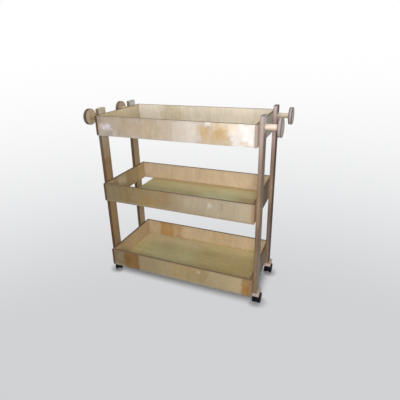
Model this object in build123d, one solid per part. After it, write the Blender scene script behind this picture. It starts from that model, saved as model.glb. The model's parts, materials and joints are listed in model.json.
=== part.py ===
"""Three-tier storage trolley in birch plywood, on twin-wheel swivel casters.

Three open trays hang between four plank posts, which are screwed to the outside of the trays'
end panels. Each post carries a peg, a dowel with a disc on its end, and stands on a pad that
reaches out past the post and takes a caster. The middle tray's floor stops short of its left
end, so that a slot is left open there.
Millimetres. X runs along the trays, the front faces -Y, Z is up, and the origin lies on the
ground under the middle of the trolley.
"""

import os

from build123d import *

# Trays
tray_length = 800
tray_depth = 400
tray_height = 96
panel_t = 12
floor_t = 6
rebate = 6  # how far a floor is let into the panels
floor_play = 0.2  # between a floor's edges and its rebates
end_slot = 68  # left open between the middle tray's floor and its left end
middle_rise = 396  # from the bottom tray to the middle one
top_rise = 351  # from the middle tray to the top one
edge_round = 1.5

# Posts
post_t = 18
post_width = 56
post_inset = 62  # of a post's middle from the trays' front and back faces
post_overhang = 29  # above the top tray's rim
post_corner = 7

# Pads between the posts and the casters
pad_t = 18
pad_length = 40
pad_overhang = 12  # past the outside of the post
pad_round = 2

# Pegs
dowel_d = 25
peg_reach = 53  # from the post to the disc
peg_drop = 48  # from the top of the post to the dowel's axis
disc_d = 81
disc_t = 18
disc_round = 2.5
glue_gap = 0.1

# Wood screws, all of one size
screw_d = 4
screw_head_d = 8
screw_tip = 4
screw_cover = 3  # wood left over the tip of a screw that holds a post
screw_pitch = 34  # between the two screws of a post in a tray
screw_play = 0.1
post_screw_rise = 60  # above a tray's lower edge
corner_inset = 24  # of the corner screws, from a panel's lower and upper edges
pad_pitch = 46  # between the two screws of a pad

# Casters
wheel_d = 50
wheel_width = 12
wheel_round = 3.5
wheel_dish = 3
wheel_space = 15  # between the two wheels of a caster
wheel_gap = 1.5  # between the tread and the hood
side_gap = 0.6  # between a wheel and the hood's axle boss
hub_d = 15
pocket_d = 40  # of the hollow behind a wheel's face
pocket_depth = 6
pocket_hub_d = 18
rib_count = 6
rib_t = 1.6
hood_wall = 2.5
hood_round = 1.5
hood_drop = 4  # of the hood's lower edge below the axle
web_t = 6
web_drop = 10  # of the web's lower edge below the axle
trail = 16  # from the swivel axis to the axle
caster_inset = 17  # of the swivel axis from the outside of the pad
left_turn = 40  # of the left casters about their swivel axes, in degrees, as the trolley stands
neck_d = 13
neck_rise = 5.3  # above the hood
neck_drop = 6  # of the neck's foot below the axle
axle_boss_d = 14
axle_d = 6
axle_cap_d = 11
axle_cap_t = 1.5
king_pin_d = 8
king_head_d = 13
king_head_t = 1.2
king_cover = 6  # left under the king pin in the neck
run_play = 0.05  # of a running fit, on the radius
press_play = 0.02  # of a fixed fit, on the radius
washer_d = 16
washer_t = 1
washer_gap = 0.2
plate_size = 32
plate_t = 2.5
plate_corner = 5
plate_pitch = 22  # between the plate's screws, both ways
plate_screw_length = 16
plate_head_t = 2.4

# Side (left is -1) and row (front is -1) of each corner, end and long panel
CORNERS = {"front_left": (-1, -1), "front_right": (1, -1), "rear_left": (-1, 1), "rear_right": (1, 1)}
SIDES = {"left": -1, "right": 1}
ROWS = {"front": -1, "back": 1}

# What follows from the sizes above
half_length = tray_length / 2
half_depth = tray_depth / 2
inner_length = half_length - panel_t
inner_depth = half_depth - panel_t
wheel_r = wheel_d / 2
arch_r = wheel_r + wheel_gap
hood_r = arch_r + hood_wall
wheel_inner = wheel_space / 2
wheel_outer = wheel_inner + wheel_width
neck_top = wheel_r + hood_r + neck_rise
neck_low = wheel_r - neck_drop
washer_low = neck_top + washer_gap
plate_low = washer_low + washer_t
caster_height = plate_low + plate_t
post_low = caster_height + pad_t
TRAY_BASE = {"bottom": post_low, "middle": post_low + middle_rise, "top": post_low + middle_rise + top_rise}
post_top = TRAY_BASE["top"] + tray_height + post_overhang
post_outer = half_length + post_t
post_y = half_depth - post_inset
pad_outer = post_outer + pad_overhang
caster_x = pad_outer - caster_inset
peg_z = post_top - peg_drop
disc_inner = post_outer + peg_reach
disc_outer = disc_inner + disc_t
screw_length = post_t + panel_t - screw_cover


def slab(x, y, z):
    """A box between two X, two Y and two Z values, each pair in either order."""
    size = [abs(b - a) for a, b in (x, y, z)]
    middle = [(a + b) / 2 for a, b in (x, y, z)]
    return Pos(*middle) * Box(*size)


def rod(diameter, x_start, x_end):
    """A cylinder along X, between two X values in either order."""
    body = Cylinder(diameter / 2, abs(x_end - x_start), rotation=(0, 90, 0))
    return Pos((x_start + x_end) / 2, 0, 0) * body


def pillar(diameter, z_low, z_high):
    """A cylinder along Z, between two Z values."""
    return Pos(0, 0, (z_low + z_high) / 2) * Cylinder(diameter / 2, z_high - z_low)


# Screws


def wood_screw(play=0.0):
    """A countersunk screw along +X from the face of its head, or its hole if play is given."""
    head_r = screw_head_d / 2 + play
    shank_r = screw_d / 2 + play
    cone = (screw_head_d - screw_d) / 2
    outline = Polyline(
        (0, 0),
        (0, head_r),
        (cone, shank_r),
        (screw_length - screw_tip, shank_r),
        (screw_length + play, shank_r / 4),
        (screw_length + play, 0),
        close=True,
    )
    return revolve(make_face(outline), Axis.X)


def inward(side, x, y, z):
    """Where a screw goes in towards the middle from the left (-1) or right (1)."""
    return Pos(side * x, y, z) * Rot(0, 0, 90 + 90 * side)


def post_screws(side, row, tier):
    """Through a post into a tray's end panel."""
    steps = (-screw_pitch / 2, screw_pitch / 2)
    height = TRAY_BASE[tier] + post_screw_rise
    return [inward(side, post_outer, row * post_y + step, height) for step in steps]


def corner_screws(side, row, tier):
    """Through a tray's end panel into its front or back."""
    rises = (corner_inset, tray_height - corner_inset)
    y = row * (half_depth - panel_t / 2)
    return [inward(side, half_length, y, TRAY_BASE[tier] + rise) for rise in rises]


def peg_screws(side, row):
    """From inside the top tray through its end panel into a dowel."""
    return [Pos(side * inner_length, row * post_y, peg_z) * Rot(0, 0, 90 - 90 * side)]


def pad_screws(side, row):
    """Up through a pad into the foot of its post."""
    x = side * (half_length + post_t / 2)
    steps = (-pad_pitch / 2, pad_pitch / 2)
    return [Pos(x, row * post_y + step, caster_height) * Rot(0, -90, 0) for step in steps]


def bored(piece, places):
    """The piece with a screw hole at each place."""
    hole = wood_screw(screw_play)
    for place in places:
        piece = piece - place * hole
    return piece


def plate_screw(play=0.0):
    """A pan-head screw up along +Z from the underside of a caster's plate."""
    shank = pillar(screw_d + 2 * play, plate_low, plate_low + plate_screw_length + play)
    head = pillar(screw_head_d, plate_low - plate_head_t, plate_low)
    return shank + fillet(head.edges().sort_by(Axis.Z)[0], plate_head_t * 0.6)


def plate_screws(side, row):
    """The four screws of a caster's plate."""
    steps = (-plate_pitch / 2, plate_pitch / 2)
    return [Pos(side * caster_x + a, row * post_y + b, 0) for a in steps for b in steps]


# Trays


def floor_span(tier):
    """The X values of a floor's two ends. The middle floor stops short of the left end."""
    reach = inner_length + rebate - floor_play
    return (end_slot - inner_length if tier == "middle" else -reach, reach)


def floor_board(tier):
    """A tray's floor, let into the lower edges of the panels."""
    reach = inner_depth + rebate - floor_play
    low = TRAY_BASE[tier]
    return slab(floor_span(tier), (-reach, reach), (low, low + floor_t))


def rebated(panel, tier):
    """The panel without the room that the floor takes."""
    left, right = floor_span(tier)
    reach = inner_depth + rebate
    low = TRAY_BASE[tier] - floor_t
    return panel - slab((left - floor_play, right + floor_play), (-reach, reach), (low, low + 2 * floor_t))


def eased(panel, along):
    """The panel with the two long edges of its rim rounded."""
    return fillet(panel.edges().filter_by(along).group_by(Axis.Z)[-1], edge_round)


def end_panel(side, tier):
    """A tray's left or right end, which runs the tray's whole depth."""
    low = TRAY_BASE[tier]
    x = (side * inner_length, side * half_length)
    panel = eased(slab(x, (-half_depth, half_depth), (low, low + tray_height)), Axis.Y)
    panel = rebated(panel, tier)
    for row in ROWS.values():
        panel = bored(panel, post_screws(side, row, tier) + corner_screws(side, row, tier))
        if tier == "top":
            panel = bored(panel, peg_screws(side, row))
    return panel


def long_panel(row, tier):
    """A tray's front or back, held between its ends."""
    low = TRAY_BASE[tier]
    y = (row * inner_depth, row * half_depth)
    panel = eased(slab((-inner_length, inner_length), y, (low, low + tray_height)), Axis.X)
    panel = rebated(panel, tier)
    for side in SIDES.values():
        panel = bored(panel, corner_screws(side, row, tier))
    return panel


# Posts, pads and pegs


def post(side, row):
    """A plank with rounded top corners, a through hole for its peg and its screw holes."""
    y = row * post_y
    width = (y - post_width / 2, y + post_width / 2)
    plank = slab((side * half_length, side * post_outer), width, (post_low, post_top))
    plank = fillet(plank.edges().filter_by(Axis.X).group_by(Axis.Z)[-1], post_corner)
    outside = plank.faces().sort_by(Axis.X)[-1 if side > 0 else 0]
    foot = post_low + edge_round
    plank = fillet([edge for edge in outside.edges() if edge.center().Z > foot], edge_round)
    plank = plank - Pos(0, y, peg_z) * rod(dowel_d + 2 * glue_gap, 0, side * disc_inner)
    for tier in TRAY_BASE:
        plank = bored(plank, post_screws(side, row, tier))
    return bored(plank, pad_screws(side, row))


def caster_pad(side, row):
    """The block under a post's foot, with the holes for its own screws and the caster's."""
    y = row * post_y
    x = (side * (pad_outer - pad_length), side * pad_outer)
    pad = slab(x, (y - post_width / 2, y + post_width / 2), (caster_height, post_low))
    outside = pad.faces().sort_by(Axis.X)[-1 if side > 0 else 0]
    pad = bored(fillet(outside.edges().filter_by(Axis.Z), pad_round), pad_screws(side, row))
    hole = plate_screw(screw_play)
    for place in plate_screws(side, row):
        pad = pad - place * hole
    return pad


def peg_dowel(side, row):
    """The peg's dowel, from the tray's end panel through the post and the disc."""
    body = Pos(0, row * post_y, peg_z) * rod(dowel_d, side * half_length, side * disc_outer)
    return bored(body, peg_screws(side, row))


def peg_disc(side, row):
    """The peg's disc, bored through for the dowel."""
    disc = rod(disc_d, side * disc_inner, side * disc_outer)
    disc = fillet(disc.edges().filter_by(GeomType.CIRCLE), disc_round)
    return Pos(0, row * post_y, peg_z) * (disc - rod(dowel_d + 2 * glue_gap, 0, 2 * side * disc_outer))


# Casters, about the swivel axis, with the axle along X and the wheels trailing along +Y


def at_axle(solid):
    """A solid made about the X axis, moved to the axle."""
    return Pos(0, trail, wheel_r) * solid


def caster_plate():
    """The steel plate, with its four screw holes and the king pin's seat."""
    plate = Pos(0, 0, plate_low) * extrude(RectangleRounded(plate_size, plate_size, plate_corner), plate_t)
    for place in GridLocations(plate_pitch, plate_pitch, 2, 2):
        plate = plate - place * pillar(screw_d + 2 * screw_play, 0, 2 * caster_height)
    plate = plate - pillar(king_pin_d + 2 * press_play, 0, 2 * caster_height)
    return plate - pillar(king_head_d + 2 * press_play, caster_height - king_head_t, 2 * caster_height)


def king_pin():
    """The rivet that the hood turns on, with its head let into the plate."""
    pin = pillar(king_pin_d, neck_low + king_cover + washer_gap, caster_height)
    return pin + pillar(king_head_d, caster_height - king_head_t, caster_height)


def swivel_washer():
    """The washer between the plate and the hood's neck."""
    return pillar(washer_d, washer_low, plate_low) - pillar(king_pin_d + 2 * press_play, 0, caster_height)


def caster_hood():
    """The moulded hood: an arch over both wheels, a web between them, and the neck."""
    cover = rod(2 * hood_r, -wheel_outer, wheel_outer)
    cover = at_axle(fillet(cover.edges().filter_by(GeomType.CIRCLE), hood_round))
    shoulder_foot = Pos(0, 0, wheel_r) * Circle(hood_r - trail + neck_d / 2)
    cover = cover + loft([shoulder_foot, Pos(0, 0, neck_top) * Circle(neck_d / 2)])
    arch = cover - at_axle(rod(2 * arch_r, -2 * wheel_outer, 2 * wheel_outer))
    room = 2 * hood_r + trail
    arch = arch - slab((-room, room), (-room, room), (-room, wheel_r - hood_drop))
    web = at_axle(rod(2 * hood_r - 2 * hood_wall, -web_t / 2, web_t / 2))
    web = web - slab((-room, room), (-room, room), (-room, wheel_r - web_drop))
    boss_end = wheel_inner - side_gap
    hood = arch + web + pillar(neck_d, neck_low, neck_top) + at_axle(rod(axle_boss_d, -boss_end, boss_end))
    hood = hood - at_axle(rod(axle_d + 2 * press_play, -wheel_outer, wheel_outer))
    return hood - pillar(king_pin_d + 2 * run_play, neck_low + king_cover, 2 * neck_top)


def wheel_pocket():
    """The hollow behind a wheel's face, between the ribs that join its hub to its rim."""
    depth = (wheel_inner, wheel_inner + pocket_depth)
    pocket = rod(pocket_d, *depth) - rod(pocket_hub_d, *depth)
    rib = slab(depth, (-rib_t / 2, rib_t / 2), (0, wheel_r))
    for step in range(rib_count):
        pocket = pocket - Rot(step * 360 / rib_count, 0, 0) * rib
    return pocket


def caster_wheel(side):
    """One wheel of the pair: a rounded tread, a dished face, a ribbed back and a running hub."""
    bore_r = axle_d / 2 + run_play
    rim_r = wheel_r - wheel_round
    dish = wheel_outer - wheel_dish
    hub_face = wheel_outer - axle_cap_t - side_gap
    outline = Polyline(
        (wheel_inner, bore_r),
        (wheel_inner, wheel_r),
        (wheel_outer, wheel_r),
        (wheel_outer, rim_r),
        (dish, rim_r - wheel_dish),
        (dish, hub_d / 2),
        (hub_face, hub_d / 2),
        (hub_face, bore_r),
        close=True,
    )
    section = make_face(outline)
    tread = [corner for corner in section.vertices() if corner.Y > rim_r + wheel_round / 2]
    wheel = revolve(fillet(tread, wheel_round * 0.7), Axis.X) - wheel_pocket()
    return at_axle(wheel if side > 0 else mirror(wheel, Plane.YZ))


def caster_axle():
    """The steel axle through the hood, with a cap over each wheel's hub."""
    cap_low = wheel_outer - axle_cap_t - side_gap / 2
    cap_high = cap_low + axle_cap_t
    axle = rod(axle_d, -cap_high, cap_high)
    for side in SIDES.values():
        axle = axle + rod(axle_cap_d, side * cap_low, side * cap_high)
    return at_axle(axle)


def build():
    """Every sub-part by the name of its node."""
    nodes = {}
    groups = {"post_screws": [], "corner_screws": [], "peg_screws": [], "pad_screws": []}
    groups |= {"caster_screws": [], "king_pins": [], "swivel_washers": []}
    screw = wood_screw()
    for tier in TRAY_BASE:
        nodes[f"{tier}_tray_floor"] = floor_board(tier)
        for name, row in ROWS.items():
            nodes[f"{tier}_tray_{name}"] = long_panel(row, tier)
        for name, side in SIDES.items():
            nodes[f"{tier}_tray_{name}_end"] = end_panel(side, tier)
            for row in ROWS.values():
                groups["post_screws"] += [place * screw for place in post_screws(side, row, tier)]
                groups["corner_screws"] += [place * screw for place in corner_screws(side, row, tier)]
    for corner, (side, row) in CORNERS.items():
        nodes[f"post_{corner}"] = post(side, row)
        nodes[f"peg_dowel_{corner}"] = peg_dowel(side, row)
        nodes[f"peg_disc_{corner}"] = peg_disc(side, row)
        nodes[f"caster_pad_{corner}"] = caster_pad(side, row)
        groups["peg_screws"] += [place * screw for place in peg_screws(side, row)]
        groups["pad_screws"] += [place * screw for place in pad_screws(side, row)]
        groups["caster_screws"] += [place * plate_screw() for place in plate_screws(side, row)]

        mount = Pos(side * caster_x, row * post_y, 0)
        groups["king_pins"].append(mount * king_pin())
        groups["swivel_washers"].append(mount * swivel_washer())
        nodes[f"caster_plate_{corner}"] = mount * caster_plate()
        swivel = mount * Rot(0, 0, left_turn if side < 0 else 0)
        nodes[f"caster_hood_{corner}"] = swivel * caster_hood()
        nodes[f"caster_axle_{corner}"] = swivel * caster_axle()
        for name, wheel_side in SIDES.items():
            nodes[f"caster_wheel_{corner}_{name}"] = swivel * caster_wheel(wheel_side)
    for name, solids in groups.items():
        nodes[name] = Compound(solids)
    return nodes


os.makedirs("parts", exist_ok=True)
for node, shape in build().items():
    export_step(shape, f"parts/{node}.step")
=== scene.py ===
import json
import math
from dataclasses import dataclass
from functools import partial

import bmesh
import bpy
from bpy.props import FloatProperty, FloatVectorProperty, PointerProperty
from mathutils import Matrix, Vector


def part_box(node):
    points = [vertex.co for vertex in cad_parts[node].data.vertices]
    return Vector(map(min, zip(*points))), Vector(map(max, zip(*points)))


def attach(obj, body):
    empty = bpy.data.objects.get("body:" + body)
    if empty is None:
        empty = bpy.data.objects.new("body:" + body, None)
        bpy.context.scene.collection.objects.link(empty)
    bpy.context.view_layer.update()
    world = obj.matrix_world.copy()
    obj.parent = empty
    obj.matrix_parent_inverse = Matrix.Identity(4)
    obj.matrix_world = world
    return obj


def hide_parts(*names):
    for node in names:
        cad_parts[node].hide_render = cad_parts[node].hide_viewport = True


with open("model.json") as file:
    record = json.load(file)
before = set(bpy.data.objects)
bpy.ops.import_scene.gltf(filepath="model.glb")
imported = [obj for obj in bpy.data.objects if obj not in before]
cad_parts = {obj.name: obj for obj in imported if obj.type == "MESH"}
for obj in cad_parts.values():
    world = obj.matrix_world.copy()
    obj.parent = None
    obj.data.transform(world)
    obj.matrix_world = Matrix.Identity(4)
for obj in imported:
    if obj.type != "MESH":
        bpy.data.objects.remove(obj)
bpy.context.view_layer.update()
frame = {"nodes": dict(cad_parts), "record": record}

bl_info = {
    "name": "Plywood storage trolley",
    "version": (1, 0, 0),
    "blender": (4, 5, 0),
    "location": "View3D > Sidebar > Trolley",
    "description": "Finishes, screws and studio of a plywood storage trolley",
    "category": "Object",
}

AXIS = {"X": 0, "Y": 1, "Z": 2}
CORNERS = ("front_left", "front_right", "rear_left", "rear_right")
SIDES = ("left", "right")
SEEDS = {  # where in the noises the patterns of each group of pieces begin
    "trays": 11.0,
    "posts": 201.0,
    "pegs": 301.0,
    "hoods": 401.0,
    "zinc": 421.0,
    "axles": 431.0,
    "wheels": 441.0,
    "screws": 601.0,
}


# Shader maths


class Wire:
    """A value in a finish, which takes part in sums as a number does."""

    def __init__(self, finish, socket):
        self.finish = finish
        self.socket = socket

    def _math(self, operation, *values):
        return self.finish.add("ShaderNodeMath", {"operation": operation}, dict(enumerate(values)))

    def __add__(self, other):
        return self._math("ADD", self, other)

    __radd__ = __add__

    def __sub__(self, other):
        return self._math("SUBTRACT", self, other)

    def __rsub__(self, other):
        return self._math("SUBTRACT", other, self)

    def __mul__(self, other):
        return self._math("MULTIPLY", self, other)

    __rmul__ = __mul__

    def __truediv__(self, other):
        return self._math("DIVIDE", self, other)

    def __rtruediv__(self, other):
        return self._math("DIVIDE", other, self)

    def __pow__(self, other):
        return self._math("POWER", self, other)

    def __abs__(self):
        return self._math("ABSOLUTE", self)

    def sine(self):
        return self._math("SINE", self)

    def least(self, other):
        return self._math("MINIMUM", self, other)

    def most(self, other):
        return self._math("MAXIMUM", self, other)

    def rise(self, low, high):
        """0 below low, 1 above high and smooth between."""
        sockets = {"Value": self, "From Min": low, "From Max": high}
        return self.finish.add("ShaderNodeMapRange", {"interpolation_type": "SMOOTHSTEP"}, sockets)

    def within(self, start, end, soft):
        """1 from start to end and 0 outside, with soft borders."""
        return (self - start).rise(-soft, soft) * (end - self).rise(-soft, soft)


class Nodes:
    """The nodes of a material or of the world, in the making."""

    def __init__(self, tree):
        self.tree = tree

    def add(self, kind, settings=None, sockets=None, output=0):
        """A node of any kind: its settings first, then what its sockets hold."""
        node = self.tree.nodes.new(kind)
        for name, value in (settings or {}).items():
            setattr(node, name, value)
        for key, value in (sockets or {}).items():
            self.feed(node.inputs[key], value)
        return Wire(self, node.outputs[output])

    def feed(self, socket, value):
        if isinstance(value, Wire):
            self.tree.links.new(value.socket, socket)
        elif socket.type == "RGBA":
            socket.default_value = (*value, 1.0)
        else:
            socket.default_value = value

    def show(self, output, shader):
        """Makes a shader the one that the named output node shows."""
        self.feed(self.tree.nodes[output].inputs["Surface"], shader)


class Finish(Nodes):
    """A material: its nodes, its surface shader and the point on the piece."""

    def __init__(self, name, **surface):
        self.material = bpy.data.materials.new(name)
        self.material.use_nodes = True
        super().__init__(self.material.node_tree)
        self.surface = self.tree.nodes["Principled BSDF"]
        self.point = self.add("ShaderNodeTexCoord", output="Object")
        self.normal = self.add("ShaderNodeTexCoord", output="Normal")
        for socket, value in surface.items():
            self.feed(self.surface.inputs[socket.replace("_", " ")], value)

    def part(self, vector, axis):
        return self.add("ShaderNodeSeparateXYZ", None, {0: vector}, AXIS[axis])

    def reach(self, direction):
        """How far the point lies along a direction."""
        sockets = {0: self.point, 1: direction}
        return self.add("ShaderNodeVectorMath", {"operation": "DOT_PRODUCT"}, sockets, "Value")

    def mix(self, share, first, second):
        """A colour that goes from first to second."""
        return self.add("ShaderNodeMix", {"data_type": "RGBA"}, {0: share, 6: first, 7: second}, 2)

    def scaled(self, colour, factor):
        return self.add("ShaderNodeVectorMath", {"operation": "SCALE"}, {0: colour, "Scale": factor})

    def moved(self, scale, seed):
        """The point, with each axis in waves to the metre, in a part of the pattern of its own."""
        sockets = {0: self.point, "Location": (seed, 3.1 * seed, 7.7 * seed), "Scale": scale}
        return self.add("ShaderNodeMapping", None, sockets)

    def noise(self, scale, seed, detail=2.0, distortion=0.0, fineness=0.5):
        sockets = {"Vector": self.moved(scale, seed), "Scale": 1.0, "Detail": detail}
        sockets |= {"Distortion": distortion, "Roughness": fineness}
        return self.add("ShaderNodeTexNoise", None, sockets)

    def spots(self, scale, seed, size):
        """Round spots, 1 in their middle and 0 outside their size."""
        sockets = {"Vector": self.moved(scale, seed), "Scale": 1.0}
        return 1.0 - self.add("ShaderNodeTexVoronoi", None, sockets).rise(0.0, size)

    def paint(self, colour, roughness, height, strength, depth):
        """Sets the surface's colour and roughness, and its relief in metres."""
        self.feed(self.surface.inputs["Base Color"], colour)
        self.feed(self.surface.inputs["Roughness"], roughness)
        sockets = {"Strength": strength, "Distance": depth, "Height": height}
        self.feed(self.surface.inputs["Normal"], self.add("ShaderNodeBump", None, sockets))


def stretch(grain, along, across):
    """The scale of a noise that runs with the grain."""
    return tuple(along if axis == grain else across for axis in "XYZ")


def dress(node, material):
    """Gives a piece of the frame its finish."""
    slots = frame["nodes"][node].data.materials
    slots.clear()
    slots.append(material)


# Plywood


LOW, HIGH = -1, 1  # the faces of a board, by the side of its sheet that they are on
VENEER = 0.00138  # thickness of one layer, before the layers' count is rounded to an odd number
COAT_ROUGHNESS = 0.32
GRIME_AND_SHADE_REACH = 0.014  # how far dirt, and painted shade where boards meet, creep in from the edges of a face
BAND_FADE = 0.03  # half the length over which a band on the edges fades out


@dataclass
class Stain:
    """A place on a board's face with a tone of its own, from start to end along the board; some stains are
    painted light and shade.
    """

    side: int  # the board's LOW or HIGH face
    start: float
    end: float
    soft: float  # half the width over which it fades out
    tone: tuple
    strength: float = 1.0
    low: float = -10.0  # across the board, and all of it unless given
    high: float = 10.0
    patchy: float = 0.0  # how far the mark breaks up into spots
    ragged: float = 0.004  # how far its outline wanders


@dataclass
class Board:
    """How one plywood board lies and looks."""

    node: str
    grain: str  # axis of the face veneers
    sheet: str  # axis through the thickness
    faces: tuple  # tones of the faces on the low and the high side of the sheet
    edges: tuple  # tones of the dark and the light veneers
    seed: float
    rim: tuple = None  # tones of the upper edge, where it differs
    tips: tuple = None  # tones of the edges at the high end, where they differ
    bands: tuple = ()  # start, end and factor of places where the edges are paler or darker
    arris: float = 0.0  # how far the edges darken towards the faces
    fade: tuple = (1.0, 1.0)  # of the faces, from one end of the board to the other
    stains: tuple = ()
    roughness: float = 0.42
    coat: float = 0.04
    gloss: float = 0.15


class Ply(Finish):
    """Varnished birch plywood: figured faces, layered edges, stains with painted light and shade among them,
    and dirt with painted shade along its edges.
    """

    def __init__(self, board):
        super().__init__(
            f"ply_{board.node}", Coat_Weight=board.coat, Coat_Roughness=COAT_ROUGHNESS,
            Specular_IOR_Level=board.gloss,
        )
        self.board = board
        self.low, self.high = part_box(board.node)
        self.sheet = AXIS[board.sheet]
        plane = [axis for axis in range(3) if axis != self.sheet]
        self.across, self.along = sorted(plane, key=lambda axis: self.high[axis] - self.low[axis])
        self.run = self.part(self.point, "XYZ"[self.along])
        self.climb = self.part(self.point, "XYZ"[self.across])
        self.depth = self.part(self.point, board.sheet)
        self.thickness = self.high[self.sheet] - self.low[self.sheet]
        self.share = (self.run - self.low[self.along]) / (self.high[self.along] - self.low[self.along])
        facing = self.part(self.normal, board.sheet)
        self.side = facing.rise(-0.3, 0.3)

        grain, seed = board.grain, board.seed
        figure = self.noise(stretch(grain, 1.3, 7.0), seed, 3.0, 0.5)
        growth = (figure * 60.0).sine()
        flame = self.noise(stretch(grain, 6.0, 46.0), seed + 4, 3.0, 0.8)
        fibre = self.noise(stretch(grain, 26.0, 900.0), seed + 9, 2.0)
        fleck = self.noise(stretch(grain, 70.0, 620.0), seed + 13, 1.0).rise(0.66, 0.78)
        self.cloud = self.noise((4.2, 4.2, 4.2), seed + 17, 4.0)
        self.mottle = self.noise(stretch(grain, 34.0, 52.0), seed + 19, 3.0, 0.6)
        knot = self.spots(stretch(grain, 2.6, 4.6), seed + 21, 0.035)
        self.pores = self.noise((700.0, 700.0, 700.0), seed + 23, 2.0)
        scratch = self.noise(stretch("XYZ"[self.along], 4.0, 260.0), seed + 27, 1.0, 2.0).rise(0.70, 0.74)
        shade = 1.0 + 0.30 * (figure - 0.5) + 0.03 * growth + 0.12 * (flame - 0.5) + 0.34 * (self.cloud - 0.5)
        shade = shade + 0.24 * (self.mottle - 0.5) + 0.14 * (fibre - 0.5)
        shade = shade - 0.14 * fleck - 0.5 * knot + 0.08 * scratch

        fade = board.fade[0] + (board.fade[1] - board.fade[0]) * self.share
        face = self.scaled(self.mix(self.side, *board.faces), shade * fade)
        face = self.grimed_and_shaded(self.stained(face, shade))
        veneer, smudge = self.layered()
        edge = self.cut_edge(veneer, smudge)
        flat = abs(facing).rise(0.74, 0.92)
        roughness = board.roughness + 0.2 * (self.cloud - 0.5) + 0.16 * (1.0 - flat)
        roughness = roughness + 0.1 * fleck - 0.1 * scratch
        relief = flat * (0.5 * fibre + 0.05 * growth - 0.5 * fleck - 0.4 * scratch)
        relief = relief + (1.0 - flat) * (0.5 * self.pores + 0.3 * veneer)
        self.paint(self.mix(flat, edge, face), roughness, relief, strength=0.3, depth=0.0004)

    def stained(self, face, shade):
        """A face's colour with the board's stains on it, in their order."""
        blot = self.noise((26.0, 26.0, 26.0), self.board.seed + 31, 5.0, 0.5, 0.62)
        drift = self.noise((26.0, 26.0, 26.0), self.board.seed + 37, 5.0, 0.5, 0.62)
        gaps = self.mottle.rise(0.40, 0.62)
        for stain in self.board.stains:
            run = self.run + 4.0 * stain.ragged * (blot - 0.5)
            climb = self.climb + 4.0 * stain.ragged * (drift - 0.5)
            inside = self.side if stain.side == HIGH else 1.0 - self.side
            inside = inside * run.within(stain.start, stain.end, stain.soft)
            inside = inside * climb.within(stain.low, stain.high, stain.soft)
            if stain.patchy:
                inside = inside * (1.0 - stain.patchy * gaps)
            face = self.mix(inside * stain.strength, face, self.scaled(stain.tone, shade))
        return face

    def inward(self, value, axis):
        """How far inside the board a value on an axis lies."""
        return (value - self.low[axis]).least(self.high[axis] - value)

    def grimed_and_shaded(self, face):
        """A face's colour darker along its edges: dirt, and painted shade where the boards meet in corners.
        """
        inward = self.inward(self.climb, self.across).least(self.inward(self.run, self.along))
        # painted shade mixed with dirt: the face darkens within a short reach of its edges
        grime_and_shade = (1.0 - inward.rise(0.0, GRIME_AND_SHADE_REACH)) * self.cloud.rise(0.3, 0.7)
        return self.mix(grime_and_shade * 0.45, face, self.scaled(face, 0.55))

    def layered(self):
        """Where the light layers of a cut edge lie, and how far glue, pores and dirt darken it."""
        count = 2 * round(self.thickness / VENEER / 2) - 1
        wave = ((self.depth - self.low[self.sheet]) * (math.pi * count / self.thickness)).sine()
        glue = 1.0 - abs(wave).rise(0.02, 0.35)
        smudge = (1.0 - 0.3 * glue) * (0.62 + 0.3 * (self.pores - 0.5) + 0.76 * self.cloud)
        return wave.rise(-0.25, 0.25), smudge

    def cut_edge(self, veneer, smudge):
        """The colour of the board's cut edges."""
        board = self.board
        edge = self.mix(veneer, *board.edges)
        if board.tips:
            edge = self.mix(self.share.rise(0.62, 1.0), edge, self.mix(veneer, *board.tips))
        for start, end, factor in board.bands:
            edge = self.scaled(edge, 1.0 + (factor - 1.0) * self.run.within(start, end, BAND_FADE))
        if board.arris:
            inward = self.inward(self.depth, self.sheet).rise(0.0, 0.42 * self.thickness)
            edge = self.scaled(edge, 1.0 - board.arris * (1.0 - inward))
        edge = self.scaled(edge, smudge)
        if board.rim:
            upward = self.part(self.normal, "Z").rise(0.45, 0.75)
            edge = self.mix(upward, edge, self.scaled(self.mix(veneer, *board.rim), smudge))
        return edge


# What a user may change


def tone(name, description, value):
    """A colour setting."""
    return FloatVectorProperty(
        name=name, description=description, subtype="COLOR", size=3, min=0.0, max=1.0, default=value
    )


def lamp_power(name, description, value):
    """A setting for a lamp's power."""
    return FloatProperty(name=name, description=description, unit="POWER", min=0.0, default=value)


def studio_place(name, description, value):
    """A setting for a place in the studio."""
    return FloatVectorProperty(
        name=name, description=description, subtype="TRANSLATION", unit="LENGTH", size=3, default=value
    )


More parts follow.
